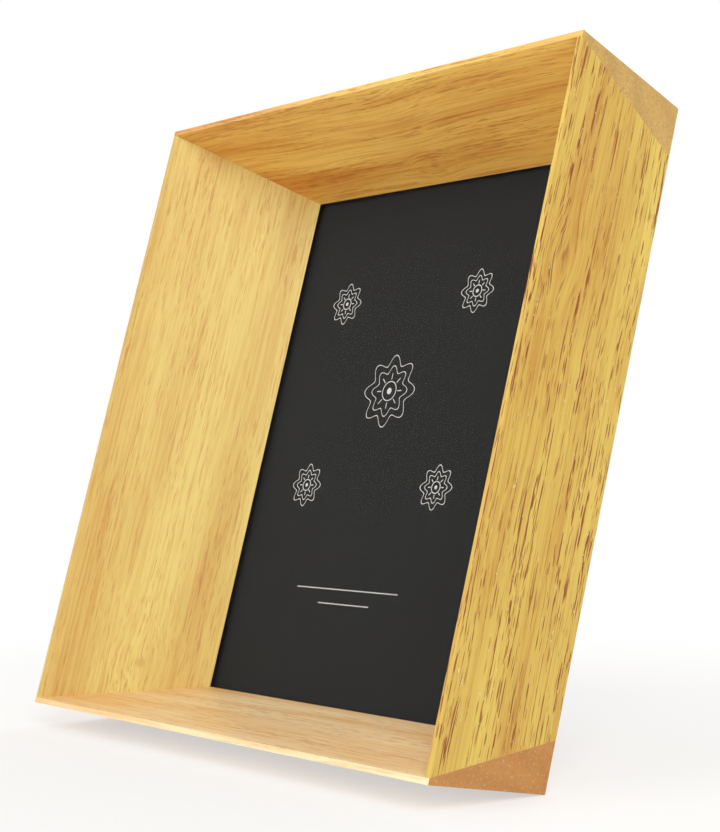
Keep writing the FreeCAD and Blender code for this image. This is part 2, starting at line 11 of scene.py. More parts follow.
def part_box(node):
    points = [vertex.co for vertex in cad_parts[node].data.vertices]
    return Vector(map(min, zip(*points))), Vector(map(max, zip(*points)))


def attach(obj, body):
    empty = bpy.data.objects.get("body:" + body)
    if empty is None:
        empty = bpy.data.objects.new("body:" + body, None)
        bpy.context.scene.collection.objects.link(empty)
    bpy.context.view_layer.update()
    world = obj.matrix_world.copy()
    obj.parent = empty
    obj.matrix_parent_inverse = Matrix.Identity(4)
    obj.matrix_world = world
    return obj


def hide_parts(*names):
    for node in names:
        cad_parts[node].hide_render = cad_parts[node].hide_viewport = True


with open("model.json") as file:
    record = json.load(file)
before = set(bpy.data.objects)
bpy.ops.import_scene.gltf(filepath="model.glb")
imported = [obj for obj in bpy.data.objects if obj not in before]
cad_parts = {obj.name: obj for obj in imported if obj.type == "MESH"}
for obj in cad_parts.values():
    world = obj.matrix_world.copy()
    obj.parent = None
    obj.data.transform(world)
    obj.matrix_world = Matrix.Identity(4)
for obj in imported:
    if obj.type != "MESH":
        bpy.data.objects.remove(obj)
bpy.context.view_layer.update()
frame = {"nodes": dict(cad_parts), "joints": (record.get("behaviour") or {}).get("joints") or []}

# An easel back photo frame in lacquered wood: finishes for its rails, card, glass, backing and
# metal fittings, cross-head screws for its turn buttons, and a plain pale stage.

bl_info = {
    "name": "Easel Photo Frame Finishes",
    "version": (1, 0, 0),
    "blender": (4, 5, 0),
    "location": "3D View > Sidebar > Photo Frame",
    "description": "Dresses the parts of a deep wooden easel frame and sets up its stage",
    "category": "Material",
}

MM = 0.001
WHITE = (1, 1, 1, 1)
BENT_SHEET = ("hinge_bracket", "strut_leaf", "hanger_strap")
RIVETS = ("bracket_rivets", "strut_rivets", "hanger_rivet")
CORNERS = ("top_left", "top_right", "bottom_left", "bottom_right")
EDGE_ANGLE = radians(35)
EDGE_SEGMENTS = 2


# Settings


def screen_colour(red, green, blue):
    """A colour given as screen levels from 0 to 255, as the linear colour that shows so."""
    levels = [level / 255 for level in (red, green, blue)]
    # the two pieces of the sRGB curve
    return tuple(
        level / 12.92 if level <= 0.04045 else ((level + 0.055) / 1.055) ** 2.4
        for level in levels
    )


def colour_property(name, description, levels):
    return FloatVectorProperty(
        name=name, description=description, subtype="COLOR", size=3, min=0, max=1,
        default=screen_colour(*levels),
    )


def length_property(name, description, default):
    return FloatProperty(
        name=name, description=description, subtype="DISTANCE", unit="LENGTH", min=0,
        default=default, precision=5,
    )


class WoodFinish(bpy.types.PropertyGroup):
    """Colours and figure of the four lacquered rails."""

    top_light: colour_property("Top light", "Pale wood of the top rail", (246, 206, 106))
    top_dark: colour_property("Top dark", "Dark bands of the top rail", (199, 127, 40))
    bottom_light: colour_property("Bottom light", "Pale wood of the bottom rail", (254, 232, 188))
    bottom_dark: colour_property("Bottom dark", "Dark bands of the bottom rail", (231, 178, 106))
    left_light: colour_property("Left light", "Pale wood of the left rail", (220, 198, 110))
    left_dark: colour_property("Left dark", "Dark bands of the left rail", (192, 144, 58))
    right_light: colour_property("Right light", "Pale wood of the right rail", (226, 200, 92))
    right_dark: colour_property("Right dark", "Dark bands of the right rail", (188, 130, 36))
    pore: colour_property("Pores", "Open pores of the right rail", (140, 66, 6))
    warm_pore: colour_property("Warm pores", "Open pores of the other rails", (172, 84, 14))
    filler: colour_property("Filler", "Lacquer standing in open pores", (250, 240, 206))
    top_end: colour_property("Top end", "Sawn ends of the top rail", (194, 155, 80))
    bottom_end: colour_property("Bottom end", "Sawn ends of the bottom rail", (186, 121, 38))
    ring_spacing: length_property("Ring spacing", "Width of one growth ring", 9 * MM)
    pore_length: length_property("Pore length", "Length of a pore cell along the grain", 9 * MM)
    pore_width: length_property("Pore width", "Width of a pore cell across the grain", 0.5 * MM)
    wander: length_property("Wander", "How far the grain strays from a straight line", 5.5 * MM)
    knot_reach: length_property("Knot reach", "How far a knot bends the grain", 8 * MM)
    knot_radius: length_property("Knot radius", "Radius of a knot's dark heart", 1.2 * MM)
    edge_round: length_property("Edge round", "Sanded round on each rail's edges", 0.28 * MM)
    roughness: FloatProperty(
        name="Roughness", description="Roughness of the satin lacquer", min=0, max=1, default=0.42
    )


class CardFinish(bpy.types.PropertyGroup):
    """The dark display card and the line rosettes printed on it."""

    ground: colour_property("Ground", "Printed ground of the card", (37, 37, 38))
    ink: colour_property("Ink", "Colour of the printed lines", (216, 216, 214))
    line: length_property("Line width", "Width of the printed lines", 0.27 * MM)
    large_radius: length_property("Large rosette", "Radius of the middle rosette", 10.5 * MM)
    small_radius: length_property("Small rosette", "Radius of the outer rosettes", 6.2 * MM)
    spread_across: length_property("Spread across", "Outer rosettes from the middle", 27 * MM)
    spread_up: length_property("Spread up", "Outer rosettes above and below the middle", 27 * MM)
    middle_level: length_property("Middle level", "Middle rosette above the card's centre", 14 * MM)
    rule_drop: length_property("Rule drop", "Upper rule below the card's centre", 42 * MM)
    rule_gap: length_property("Rule gap", "Gap between the two rules", 4 * MM)
    rule_length: length_property("Rule length", "Half length of the upper rule", 21 * MM)
    petals: IntProperty(name="Petals", description="Petals of a rosette", min=3, default=8)


class FittingFinish(bpy.types.PropertyGroup):
    """Fibreboard, plated metal, the glass pane and the turn-button screws."""

    board: colour_property("Board", "Face of the fibreboard", (150, 106, 68))
    board_dark: colour_property("Board fibres", "Dark fibres of the board", (104, 68, 40))
    zinc: colour_property("Zinc", "Zinc-plated sheet", (196, 197, 192))
    nickel: colour_property("Nickel", "Nickel-plated wire, rivets and screws", (206, 204, 196))
    nail: colour_property("Nails", "Bare steel of the corner nails", (120, 122, 124))
    glass: colour_property("Glass", "Tint of the pane's own surface", (40, 62, 54))
    glass_clearance: length_property("Glass clearance", "Pane kept off the card", 0.04 * MM)
    sheet_round: length_property("Sheet edge", "Round on the edges of pressed sheet", 0.12 * MM)
    board_round: length_property("Board edge", "Round on the edges of the boards", 0.25 * MM)
    head_radius: length_property("Head radius", "Radius of a screw's head", 2.9 * MM)
    head_height: length_property("Head height", "Height of a screw's head", 1.65 * MM)
    shank_radius: length_property("Shank radius", "Radius of a screw's shank", 1.4 * MM)
    shank_length: length_property("Shank length", "Shank below the head", 9.5 * MM)
    seat: length_property("Seat", "A screw head's seat above the rail's back", 1 * MM)
    cross_width: length_property("Cross width", "Width of one arm of the screw's cross", 0.62 * MM)
    cross_reach: length_property("Cross reach", "Length of one arm from the middle", 1.75 * MM)
    cross_depth: length_property("Cross depth", "Depth of the screw's cross", 0.9 * MM)


class StageSetup(bpy.types.PropertyGroup):
    """The frame's lean, the camera, the light from all round and the floor."""

    lean: FloatProperty(
        name="Lean", description="How far the frame leans back on its strut",
        subtype="ANGLE", unit="ROTATION", default=radians(16),
    )
    camera_place: FloatVectorProperty(
        name="Camera", description="Where the camera stands", subtype="XYZ", unit="LENGTH",
        size=3, default=(0.36496, -0.30368, 0.07735), precision=5,
    )
    camera_turn: FloatProperty(
        name="Camera turn", description="Turn of the view from straight ahead",
        subtype="ANGLE", unit="ROTATION", default=radians(49.937),
    )
    camera_dip: FloatProperty(
        name="Camera dip", description="How far the view looks down",
        subtype="ANGLE", unit="ROTATION", default=radians(0.38),
    )
    lens: FloatProperty(
        name="Lens", description="Focal length in millimetres for a 36 mm long side",
        subtype="DISTANCE_CAMERA", default=76.361,
    )
    shift_across: FloatProperty(
        name="Shift across", description="Sideways shift as a share of the picture's long side",
        default=-0.00185,
    )
    shift_up: FloatProperty(
        name="Shift up", description="Upward shift as a share of the picture's long side",
        default=0.0633,
    )
    floor_size: length_property("Floor size", "Side of the square floor", 8)
    floor_white: FloatProperty(
        name="Floor white", description="How pale the floor is", min=0, max=1, default=0.92
    )
    fade_from: length_property("Fade from", "Where the floor starts to fade to white", 0.13)
    fade_to: length_property("Fade to", "Where the floor has faded to white", 0.34)
    floor_glow: FloatProperty(
        name="Floor glow", description="Share of plain white in the floor beside the frame",
        min=0, max=1, default=0.55,
    )
    ambient: FloatProperty(
        name="Ambient", description="Strength of the light from all round", min=0, default=0.68
    )


# Shader nodes. A value given to one of these is a number or another node's output.

# A noise: its features per metre, one number or one for each axis, its detail, the two levels
# between which its patches fade in, and its roughness
Figure = namedtuple("Figure", "scale detail low high roughness", defaults=(0, 1, 0.55))


def set_inputs(tree, node, inputs):
    for name, value in inputs.items():
        if isinstance(value, bpy.types.NodeSocket):
            tree.links.new(value, node.inputs[name])
        else:
            node.inputs[name].default_value = value


def new_node(tree, kind, settings=None, inputs=None):
    node = tree.nodes.new(kind)
    for name, setting in (settings or {}).items():
        setattr(node, name, setting)
    set_inputs(tree, node, inputs or {})
    return node


def new_material(name):
    """A node material with one shader, and its tree."""
    material = bpy.data.materials.new(name)
    material.use_nodes = True
    tree = material.node_tree
    return material, tree, tree.nodes["Principled BSDF"]


def maths(tree, operation, *values):
    inputs = dict(enumerate(values))
    return new_node(tree, "ShaderNodeMath", {"operation": operation}, inputs).outputs[0]


def vector_maths(tree, operation, *vectors):
    inputs = dict(enumerate(vectors))
    return new_node(tree, "ShaderNodeVectorMath", {"operation": operation}, inputs)


def times(tree, first, second):
    return maths(tree, "MULTIPLY", first, second)


def minus(tree, first, second):
    return maths(tree, "SUBTRACT", first, second)


def size_of(tree, value):
    """The value without its sign."""
    return maths(tree, "ABSOLUTE", value)


def distance(tree, x, y):
    """How far a point is from the middle, by its two parts."""
    squares = maths(tree, "ADD", times(tree, x, x), times(tree, y, y))
    return maths(tree, "SQRT", squares)


def total(tree, operation, values):
    """One value from many, taken two at a time."""
    result = values[0]
    for value in values[1:]:
        result = maths(tree, operation, result, value)
    return result


def ranged(tree, value, low, high):
    """The low number where the value is 0, and the high one where it is 1."""
    return maths(tree, "MULTIPLY_ADD", value, high - low, low)


def faded(tree, value, low, high):
    """0 below low and 1 above high, or the other way round where high is the lower."""
    falls = high < low
    node = new_node(
        tree, "ShaderNodeMapRange", {"interpolation_type": "SMOOTHSTEP"},
        {"Value": value, "From Min": min(low, high), "From Max": max(low, high),
         "To Min": int(falls), "To Max": int(not falls)},
    )
    return node.outputs[0]


def parts_of(tree, vector):
    return new_node(tree, "ShaderNodeSeparateXYZ", None, {0: vector}).outputs


def stretched(tree, vector, scales):
    return vector_maths(tree, "MULTIPLY", vector, scales).outputs[0]


def noise(tree, place, figure):
    """The figure's noise, from 0 to 1."""
    even = not isinstance(figure.scale, tuple)
    inputs = {
        "Vector": place if even else stretched(tree, place, figure.scale),
        "Scale": figure.scale if even else 1,
        "Detail": figure.detail,
        "Roughness": figure.roughness,
    }
    return new_node(tree, "ShaderNodeTexNoise", None, inputs).outputs[0]


def patches_in(tree, level, figure):
    """1 in the figure's patches and 0 between them, from its noise."""
    return faded(tree, level, figure.low, figure.high)


def patches(tree, place, figure):
    return patches_in(tree, noise(tree, place, figure), figure)


def swing(tree, place, figure, width):
    """The figure's noise as a value that strays to both sides of 0, over that width in all."""
    return times(tree, minus(tree, noise(tree, place, figure), 0.5), width)


def mixed(tree, factor, first, second):
    """From the first colour to the second."""
    node = new_node(tree, "ShaderNodeMix", {"data_type": "RGBA"}, {0: factor})
    for socket, colour in ((6, first), (7, second)):
        whole = colour if isinstance(colour, bpy.types.NodeSocket) else (*colour, 1)
        set_inputs(tree, node, {socket: whole})
    return node.outputs[2]


def toned(colour, factor):
    """A darker or paler colour."""
    return [min(1, level * factor) for level in colour]


def mixed_shaders(tree, factor, first, second):
    inputs = {0: factor, 1: first, 2: second}
    return new_node(tree, "ShaderNodeMixShader", None, inputs).outputs[0]


def bumped(tree, height, strength, depth):
    inputs = {"Height": height, "Strength": strength, "Distance": depth}
    return new_node(tree, "ShaderNodeBump", None, inputs).outputs[0]


def object_place(tree):
    return new_node(tree, "ShaderNodeTexCoord").outputs["Object"]


def card_centre():
    low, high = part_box("display_card")
    return (Vector(low) + Vector(high)) / 2


def frame_place(tree, lean):
    """Where the point is from the card's centre, along the axes of the frame before it leans."""
    upright = Matrix.Rotation(lean, 4, "X")
    mapping = new_node(
        tree, "ShaderNodeMapping", {"vector_type": "POINT"},
        {"Vector": object_place(tree), "Rotation": (lean, 0, 0),
         "Location": -(upright @ card_centre())},
    )
    return mapping.outputs[0]


def dress(node_name, material):
    """Gives a carried-over part its finish."""
    part = frame["nodes"][node_name]
    part.data.materials.clear()
    part.data.materials.append(material)
    return part


def soften_edges(part, width):
    bevel = part.modifiers.new("edge_round", "BEVEL")
    bevel.width = width
    bevel.segments = EDGE_SEGMENTS
    bevel.limit_method = "ANGLE"
    bevel.angle_limit = EDGE_ANGLE
    bevel.harden_normals = True


# Rails

# The axis of a rail's grain, the setting for its pores' colour, its pith (across and over the
# grain), the strength of its pores and of their filling, how much darker it turns to the left,
# and its knot (along and across the grain). Places are from the card's centre.
Rail = namedtuple("Rail", "grain pore pith pores filler deeper knot")
RAILS = {
    "top": Rail("X", "warm_pore", (62 * MM, 118 * MM), 0.56, 0.1, 0.3, (8 * MM, -8 * MM)),
    "bottom": Rail("X", "warm_pore", (-30 * MM, -130 * MM), 0.45, 0.05, 0.45, None),
    "left": Rail("Z", "warm_pore", (50 * MM, -200 * MM), 0.42, 0.1, 0, (-71 * MM, -17 * MM)),
    "right": Rail("Z", "pore", (-45 * MM, 210 * MM), 1.2, 0.5, 0, (36 * MM, -26 * MM)),
}

# A point's place in the frame, its three parts by a rail's grain, the same as one vector, and
# 1 in the dark heart of the rail's knot
Grain = namedtuple("Grain", "place along across over lined_up heart")

# Stretched noises have their scales along, across and over the grain
WANDER = Figure((14, 14, 14), 1)
RING_SWAY = Figure((5, 22, 22), 2)
DRIFT = Figure((7, 60, 60), 3, 0.34, 0.7)
STREAKS = Figure((26, 1200, 1200), 4, 0.38, 0.68, 0.62)
VESSELS = Figure((20, 1500, 1500), 3, 0.51, 0.6)
VESSEL_BREAKS = Figure((150, 1700, 1700), 1, 0.47, 0.58)
PORE_WOBBLE = Figure((90, 500, 500), 2)
PORE_CROWDING = Figure((13, 130, 130), 2, 0.34, 0.6)
FILLER_DOTS = Figure((700, 1300, 1300), 1, 0.68, 0.76)
END_DOTS = Figure(1100, 3, 0.52, 0.7)
END_GRIT = Figure(1500, 2, 0.56, 0.72)

RING_SWAY_WIDTH = 26 * MM
LATE_WOOD_POWER = 1.7
KNOT_OVAL = 0.55  # a knot's width as a share of its length
KNOT_PULL = 0.8
KNOT_SHADE = 0.34
KNOT_CORE = 1 / 3  # share of a knot's heart that is fully dark

# In pore cells: how far pores wobble, how far they grow where they crowd, and their soft rim
PORE_WOBBLE_WIDTH = 1.2
PORE_GROWTH = 0.27
PORE_RIM = (0.04, -0.08)
FEWEST_STRINGS = 0.5  # strength of the vessels' lines where pores are few

# Shares of each thing in the wood's tone, and where the rails that lie across turn darker
BAND_SHARE = 0.25
DRIFT_SHARE = 0.42
STREAK_SHARE = 0.36
DEEPER_FROM_TO = (0, -70 * MM)

# Sawn ends
END_FACING = (0.8, 0.95)
END_COVER = 0.92
END_TONE = 0.72
END_DOT_SHARE = 0.7
END_BAND_SHARE = 0.35
END_GRIT_SHARE = 0.16
END_PORES = 0.4

PORE_ROUGHNESS = 0.2
STREAK_HEIGHT = 0.25


def bend_round_knot(tree, along, across, knot, settings):
    """Bends the grain round a small knot. Gives the bent across part and the knot's dark heart."""
    knot_along, knot_across = knot
    beside = minus(tree, across, knot_across)
    ahead = times(tree, minus(tree, along, knot_along), KNOT_OVAL)
    away = distance(tree, beside, ahead)
    pull = times(tree, faded(tree, away, settings.knot_reach, 0), KNOT_PULL)
    bent = minus(tree, across, times(tree, beside, pull))
    heart = faded(tree, away, settings.knot_radius, settings.knot_radius * KNOT_CORE)
    return bent, heart


def grain_axes(tree, rail, settings, lean):
    """The point's parts along, across and over a grain that wanders and bends round the knot."""
    place = frame_place(tree, lean)
    parts = parts_of(tree, place)
    order = (0, 1, 2) if rail.grain == "X" else (2, 1, 0)
    along, across, over = [parts[axis] for axis in order]
    wander = swing(tree, place, WANDER, settings.wander)
    across = maths(tree, "ADD", across, wander)
    over = minus(tree, over, wander)
    heart = 0
    if rail.knot:
        across, heart = bend_round_knot(tree, along, across, rail.knot, settings)
    inputs = {0: along, 1: across, 2: over}
    lined_up = new_node(tree, "ShaderNodeCombineXYZ", None, inputs).outputs[0]
    return Grain(place, along, across, over, lined_up, heart)


def growth_bands(tree, grain, pith, spacing):
    """0 in early wood and 1 in late wood, in wavy rings about the pith."""
    sway = swing(tree, grain.lined_up, RING_SWAY, RING_SWAY_WIDTH)
    offsets = [
        maths(tree, "ADD", minus(tree, part, centre), sway)
        for part, centre in zip((grain.across, grain.over), pith)
    ]
    turns = times(tree, distance(tree, *offsets), 2 * pi / spacing)
    bands = ranged(tree, maths(tree, "SINE", turns), 0.5, 1)
    return maths(tree, "POWER", bands, LATE_WOOD_POWER)


def pore_dashes(tree, lined_up, crowding, settings):
    """Thin dashes along the grain that grow where they crowd."""
    cell = (1 / settings.pore_length, 1 / settings.pore_width, 1 / settings.pore_width)
    wobble = swing(tree, lined_up, PORE_WOBBLE, PORE_WOBBLE_WIDTH)
    cells = vector_maths(tree, "ADD", stretched(tree, lined_up, cell), wobble).outputs[0]
    away = new_node(
        tree, "ShaderNodeTexVoronoi", {"feature": "F1"},
        {"Vector": cells, "Scale": 1, "Randomness": 1},
    ).outputs["Distance"]
    return faded(tree, minus(tree, away, times(tree, crowding, PORE_GROWTH)), *PORE_RIM)


def pore_marks(tree, lined_up, settings, strength):
    """Dashes, and broken lines of cut vessels, crowded in some bands and few in others."""
    crowding = patches(tree, lined_up, PORE_CROWDING)
    dashes = pore_dashes(tree, lined_up, crowding, settings)
    strings = times(
        tree, patches(tree, lined_up, VESSELS), patches(tree, lined_up, VESSEL_BREAKS)
    )
    strings = times(tree, strings, ranged(tree, crowding, FEWEST_STRINGS, 1))
    marks = times(tree, maths(tree, "MAXIMUM", dashes, strings), strength)
    return maths(tree, "MINIMUM", marks, 1)


def wood_tone(tree, grain, bands, streaks, deeper):
    """0 in the palest wood and 1 in the darkest."""
    tone = total(tree, "ADD", [
        times(tree, bands, BAND_SHARE),
        times(tree, patches(tree, grain.lined_up, DRIFT), DRIFT_SHARE),
        times(tree, patches_in(tree, streaks, STREAKS), STREAK_SHARE),
        times(tree, faded(tree, grain.along, *DEEPER_FROM_TO), deeper),
    ])
    return maths(tree, "MINIMUM", tone, 1)


def end_share(tree):
    """1 on the sawn ends of a rail that lies across the frame, 0 on its sides."""
    facing = new_node(tree, "ShaderNodeTexCoord").outputs["Normal"]
    sideways = size_of(tree, parts_of(tree, facing)[0])
    return faded(tree, sideways, *END_FACING)


def sawn_colour(tree, place, bands, colour, filler):
    """A sawn end, with its dots, rings and pale grit."""
    shaded = toned(colour, END_TONE)
    dots = times(tree, patches(tree, place, END_DOTS), END_DOT_SHARE)
    sawn = mixed(tree, dots, colour, shaded)
    sawn = mixed(tree, times(tree, bands, END_BAND_SHARE), sawn, shaded)
    grit = times(tree, patches(tree, place, END_GRIT), END_GRIT_SHARE)
    return mixed(tree, grit, sawn, filler)


def wood(side, settings, lean):
    """Satin-lacquered wood that is solid all through, so every face shows its own figure."""
    rail = RAILS[side]
    material, tree, shader = new_material(f"{side}_rail_wood")
    grain = grain_axes(tree, rail, settings, lean)
    bands = growth_bands(tree, grain, rail.pith, settings.ring_spacing)
    streaks = noise(tree, grain.lined_up, STREAKS)
    tone = wood_tone(tree, grain, bands, streaks, rail.deeper)
    light, dark = [getattr(settings, f"{side}_{shade}") for shade in ("light", "dark")]
    colour = mixed(tree, tone, light, dark)
    marks = pore_marks(tree, grain.lined_up, settings, rail.pores)
    if rail.grain == "X":
        at_end = end_share(tree)
        end_colour = getattr(settings, f"{side}_end")
        sawn = sawn_colour(tree, grain.place, bands, end_colour, settings.filler)
        colour = mixed(tree, times(tree, at_end, END_COVER), colour, sawn)
        marks = times(tree, marks, ranged(tree, at_end, 1, END_PORES))
    marks = maths(tree, "MAXIMUM", marks, times(tree, grain.heart, KNOT_SHADE))
    colour = mixed(tree, marks, colour, getattr(settings, rail.pore))
    dots = patches(tree, grain.lined_up, FILLER_DOTS)
    filled = times(tree, patches(tree, grain.lined_up, VESSELS), dots)
    height = maths(tree, "MULTIPLY_ADD", streaks, STREAK_HEIGHT, times(tree, marks, -1))
    set_inputs(tree, shader, {
        "Base Color": mixed(tree, times(tree, filled, rail.filler), colour, settings.filler),
        "Roughness": maths(tree, "MULTIPLY_ADD", marks, PORE_ROUGHNESS, settings.roughness),
        "Normal": bumped(tree, height, strength=0.35, depth=0.03 * MM),
        "Coat Weight": 0.1,
        "Coat Roughness": 0.3,
    })
    return material


def finish_rails(context):
    settings = context.scene.frame_wood
    for side in RAILS:
        material = wood(side, settings, context.scene.frame_stage.lean)
        soften_edges(dress(f"{side}_rail", material), settings.edge_round)


# Card and glass

LINE_EDGE = (0.65, 0.35)  # where a line fades in, as shares of its width from its middle

# Shares of a rosette's radius: each line's own radius and how far its petals swing, the two
# ends of its rays, and the edge of its dot
ROSETTE_LINES = ((0.85, 0.13), (0.6, 0.09), (0.26, 0))
RAY_ENDS = ((0.3, 0.34), (0.5, 0.46))
DOT_EDGE = (0.1, 0.07)

RULE_SHARES = (1, 0.5)  # each rule's length as a share of the upper one
RULE_FADE = 1 / 4  # soft end of a rule, as a share of the line's width

PRINT_WEAR = Figure(5200, 2, 0.28, 0.42)
CARD_MOTTLE = Figure(500, 2)
CARD_TOOTH = Figure(4000, 2)
MOTTLE_SHARE = 0.2
MOTTLE_TONE = 1.25
CARD_ROUGHNESS = (0.7, 0.85)
GLASS_SMEARS = Figure(45, 3, 0.5, 0.8)
GLASS_ROUGHNESS = (0.06, 0.11)


def line_mask(tree, away, width):
    """1 on a line of that width, from how far a point is away from its middle."""
    start, end = LINE_EDGE
    return faded(tree, away, width * start, width * end)


def rosette_rays(tree, out, angle, radius, settings):
    """Short rays, one for each petal, between the ring and the petalled lines."""
    ray = size_of(tree, maths(tree, "SINE", times(tree, angle, settings.petals / 2)))
    beside = times(tree, times(tree, ray, out), 2 / settings.petals)
    ray = line_mask(tree, beside, settings.line)
    for start, end in RAY_ENDS:
        ray = times(tree, ray, faded(tree, out, radius * start, radius * end))
    return ray


def rosette(tree, across, up, centre, radius, settings):
    """Two petalled lines, a ring, rays round the ring and a dot in the middle."""
    x = minus(tree, across, centre[0])
    z = minus(tree, up, centre[1])
    out = distance(tree, x, z)
    angle = maths(tree, "ARCTAN2", z, x)
    lobes = maths(tree, "COSINE", times(tree, angle, settings.petals))
    masks = [rosette_rays(tree, out, angle, radius, settings)]
    for share, depth in ROSETTE_LINES:
        reach = maths(tree, "MULTIPLY_ADD", lobes, radius * depth, radius * share)
        masks.append(line_mask(tree, size_of(tree, minus(tree, out, reach)), settings.line))
    dot_start, dot_end = DOT_EDGE
    masks.append(faded(tree, out, radius * dot_start, radius * dot_end))
    return total(tree, "MAXIMUM", masks)


def rule(tree, across, up, level, half_length, line):
    """A straight line across the card."""
    beside = size_of(tree, minus(tree, up, level))
    faint_end = half_length + line * RULE_FADE
    ends = faded(tree, size_of(tree, across), faint_end, half_length)
    return times(tree, line_mask(tree, beside, line), ends)


def printed_lines(tree, across, up, settings):
    """1 on the card's printed lines: a rosette with four about it, and two rules below."""
    middle = settings.middle_level
    masks = [rosette(tree, across, up, (0, middle), settings.large_radius, settings)]
    for side in (-1, 1):
        for end in (-1, 1):
            centre = (side * settings.spread_across, middle + end * settings.spread_up)
            masks.append(rosette(tree, across, up, centre, settings.small_radius, settings))
    for number, share in enumerate(RULE_SHARES):
        level = -settings.rule_drop - number * settings.rule_gap
        half_length = settings.rule_length * share
        masks.append(rule(tree, across, up, level, half_length, settings.line))
    return total(tree, "MAXIMUM", masks)


def finish_card(context):
    settings = context.scene.frame_card
    material, tree, shader = new_material("card_print")
    place = frame_place(tree, context.scene.frame_stage.lean)
    parts = parts_of(tree, place)
    lines = printed_lines(tree, parts[0], parts[2], settings)
    lines = times(tree, lines, patches(tree, place, PRINT_WEAR))
    mottle = noise(tree, place, CARD_MOTTLE)
    paler = toned(settings.ground, MOTTLE_TONE)
    ground = mixed(tree, times(tree, mottle, MOTTLE_SHARE), settings.ground, paler)
    tooth = noise(tree, place, CARD_TOOTH)
    set_inputs(tree, shader, {
        "Base Color": mixed(tree, lines, ground, settings.ink),
        "Roughness": ranged(tree, mottle, *CARD_ROUGHNESS),
        "Normal": bumped(tree, tooth, strength=0.05, depth=0.01 * MM),
        "Specular IOR Level": 0.12,
    })
    dress("display_card", material)


def finish_glass(context):
    settings = context.scene.frame_fittings
    material, tree, shader = new_material("clear_glass")
    smears = patches(tree, object_place(tree), GLASS_SMEARS)
    set_inputs(tree, shader, {
        "Base Color": (*settings.glass, 1),
        "Roughness": ranged(tree, smears, *GLASS_ROUGHNESS),
        "Alpha": 0.02,
        "IOR": 1.3,
    })
    pane = dress("glass_pane", material)
    # the pane lies flat on the card, so it gives way by a hair and the two faces stay apart
    shrink = pane.modifiers.new("clearance", "DISPLACE")
    shrink.mid_level = 0
    shrink.strength = -settings.glass_clearance


# Backing and metal

BOARD_CLUMPS = Figure(260, 5, 0.35, 0.7, 0.7)
BOARD_FIBRES = Figure((2600, 2600, 910), 3, 0.5, 0.72, 0.65)
BOARD_SPECKS = Figure(1900, 2, 0.64, 0.74)
CLUMP_TONE = 0.8
FIBRE_SHARE = 0.6
SPECK_SHARE = 0.5
SPECK_TONE = 1.6
BOARD_ROUGHNESS = (0.6, 0.8)

# A plating's colour setting, its roughness and how strong its dull spots are
Plating = namedtuple("Plating", "colour roughness spots")
PLATINGS = {
    "zinc_plate": Plating("zinc", 0.3, 0.35),
    "nickel_plate": Plating("nickel", 0.2, 0.2),
    "nail_steel": Plating("nail", 0.45, 0.6),
    "screw_plate": Plating("nickel", 0.24, 0.25),
}
ROLLING_MARKS = Figure((400, 6000, 900), 3)
SHEEN_CLOUDS = Figure(330, 3)
DULL_SPOTS = Figure(1400, 2, 0.6, 0.75)
CLOUD_SHARE = 0.5
CLOUD_TONE = 0.72
SPOT_TONE = 0.45
MARK_ROUGHNESS = 0.16
SPOT_ROUGHNESS = 0.2


def fibreboard(settings, lean):
    """Pressed board with darker clumps, dark fibres and pale specks."""
    material, tree, shader = new_material("fibreboard")
    place = frame_place(tree, lean)
    clumps = noise(tree, place, BOARD_CLUMPS)
    fibres = noise(tree, place, BOARD_FIBRES)
    board = settings.board
    colour = mixed(tree, patches_in(tree, clumps, BOARD_CLUMPS), board, toned(board, CLUMP_TONE))
    dark = times(tree, patches_in(tree, fibres, BOARD_FIBRES), FIBRE_SHARE)
    colour = mixed(tree, dark, colour, settings.board_dark)
    pale = times(tree, patches(tree, place, BOARD_SPECKS), SPECK_SHARE)
    height = maths(tree, "ADD", clumps, fibres)
    set_inputs(tree, shader, {
        "Base Color": mixed(tree, pale, colour, toned(board, SPECK_TONE)),
        "Roughness": ranged(tree, clumps, *BOARD_ROUGHNESS),
        "Normal": bumped(tree, height, strength=0.35, depth=0.05 * MM),
    })
    return material


def finish_backing(context):
    settings = context.scene.frame_fittings
    material = fibreboard(settings, context.scene.frame_stage.lean)
    for name in ("back_board", "strut"):
        soften_edges(dress(name, material), settings.board_round)


def plated(name, settings):
    """Plated metal: fine rolling marks, a cloudy sheen, and dull spots where it has been handled."""
    plating = PLATINGS[name]
    colour = getattr(settings, plating.colour)
    material, tree, shader = new_material(name)
    place = object_place(tree)
    marks = noise(tree, place, ROLLING_MARKS)
    clouds = times(tree, noise(tree, place, SHEEN_CLOUDS), CLOUD_SHARE)
    dull = patches(tree, place, DULL_SPOTS)
    cloudy = mixed(tree, clouds, colour, toned(colour, CLOUD_TONE))
    spotted = mixed(tree, times(tree, dull, plating.spots), cloudy, toned(colour, SPOT_TONE))
    rough = maths(tree, "MULTIPLY_ADD", marks, MARK_ROUGHNESS, plating.roughness)
    set_inputs(tree, shader, {
        "Base Color": spotted,
        "Roughness": maths(tree, "MULTIPLY_ADD", dull, SPOT_ROUGHNESS, rough),
        "Normal": bumped(tree, marks, strength=0.12, depth=0.02 * MM),
        "Metallic": 1,
    })
    return material


def finish_fittings(context):
    settings = context.scene.frame_fittings
    zinc = plated("zinc_plate", settings)
    nickel = plated("nickel_plate", settings)
    buttons = [f"turn_button_{corner}" for corner in CORNERS]
    for name in (*BENT_SHEET, *buttons):
        soften_edges(dress(name, zinc), settings.sheet_round)
    for name in (*RIVETS, "hinge_pin"):
        soften_edges(dress(name, nickel), settings.sheet_round)
    dress("hanger_ring", nickel)
    dress("v_nails", plated("nail_steel", settings))


# Screws

SCREW_SIDES = 40
SHARP_ANGLE = radians(32)
TIP_LENGTH = 2  # a screw's cone, in shank radiuses
CROWN_STEPS = 7

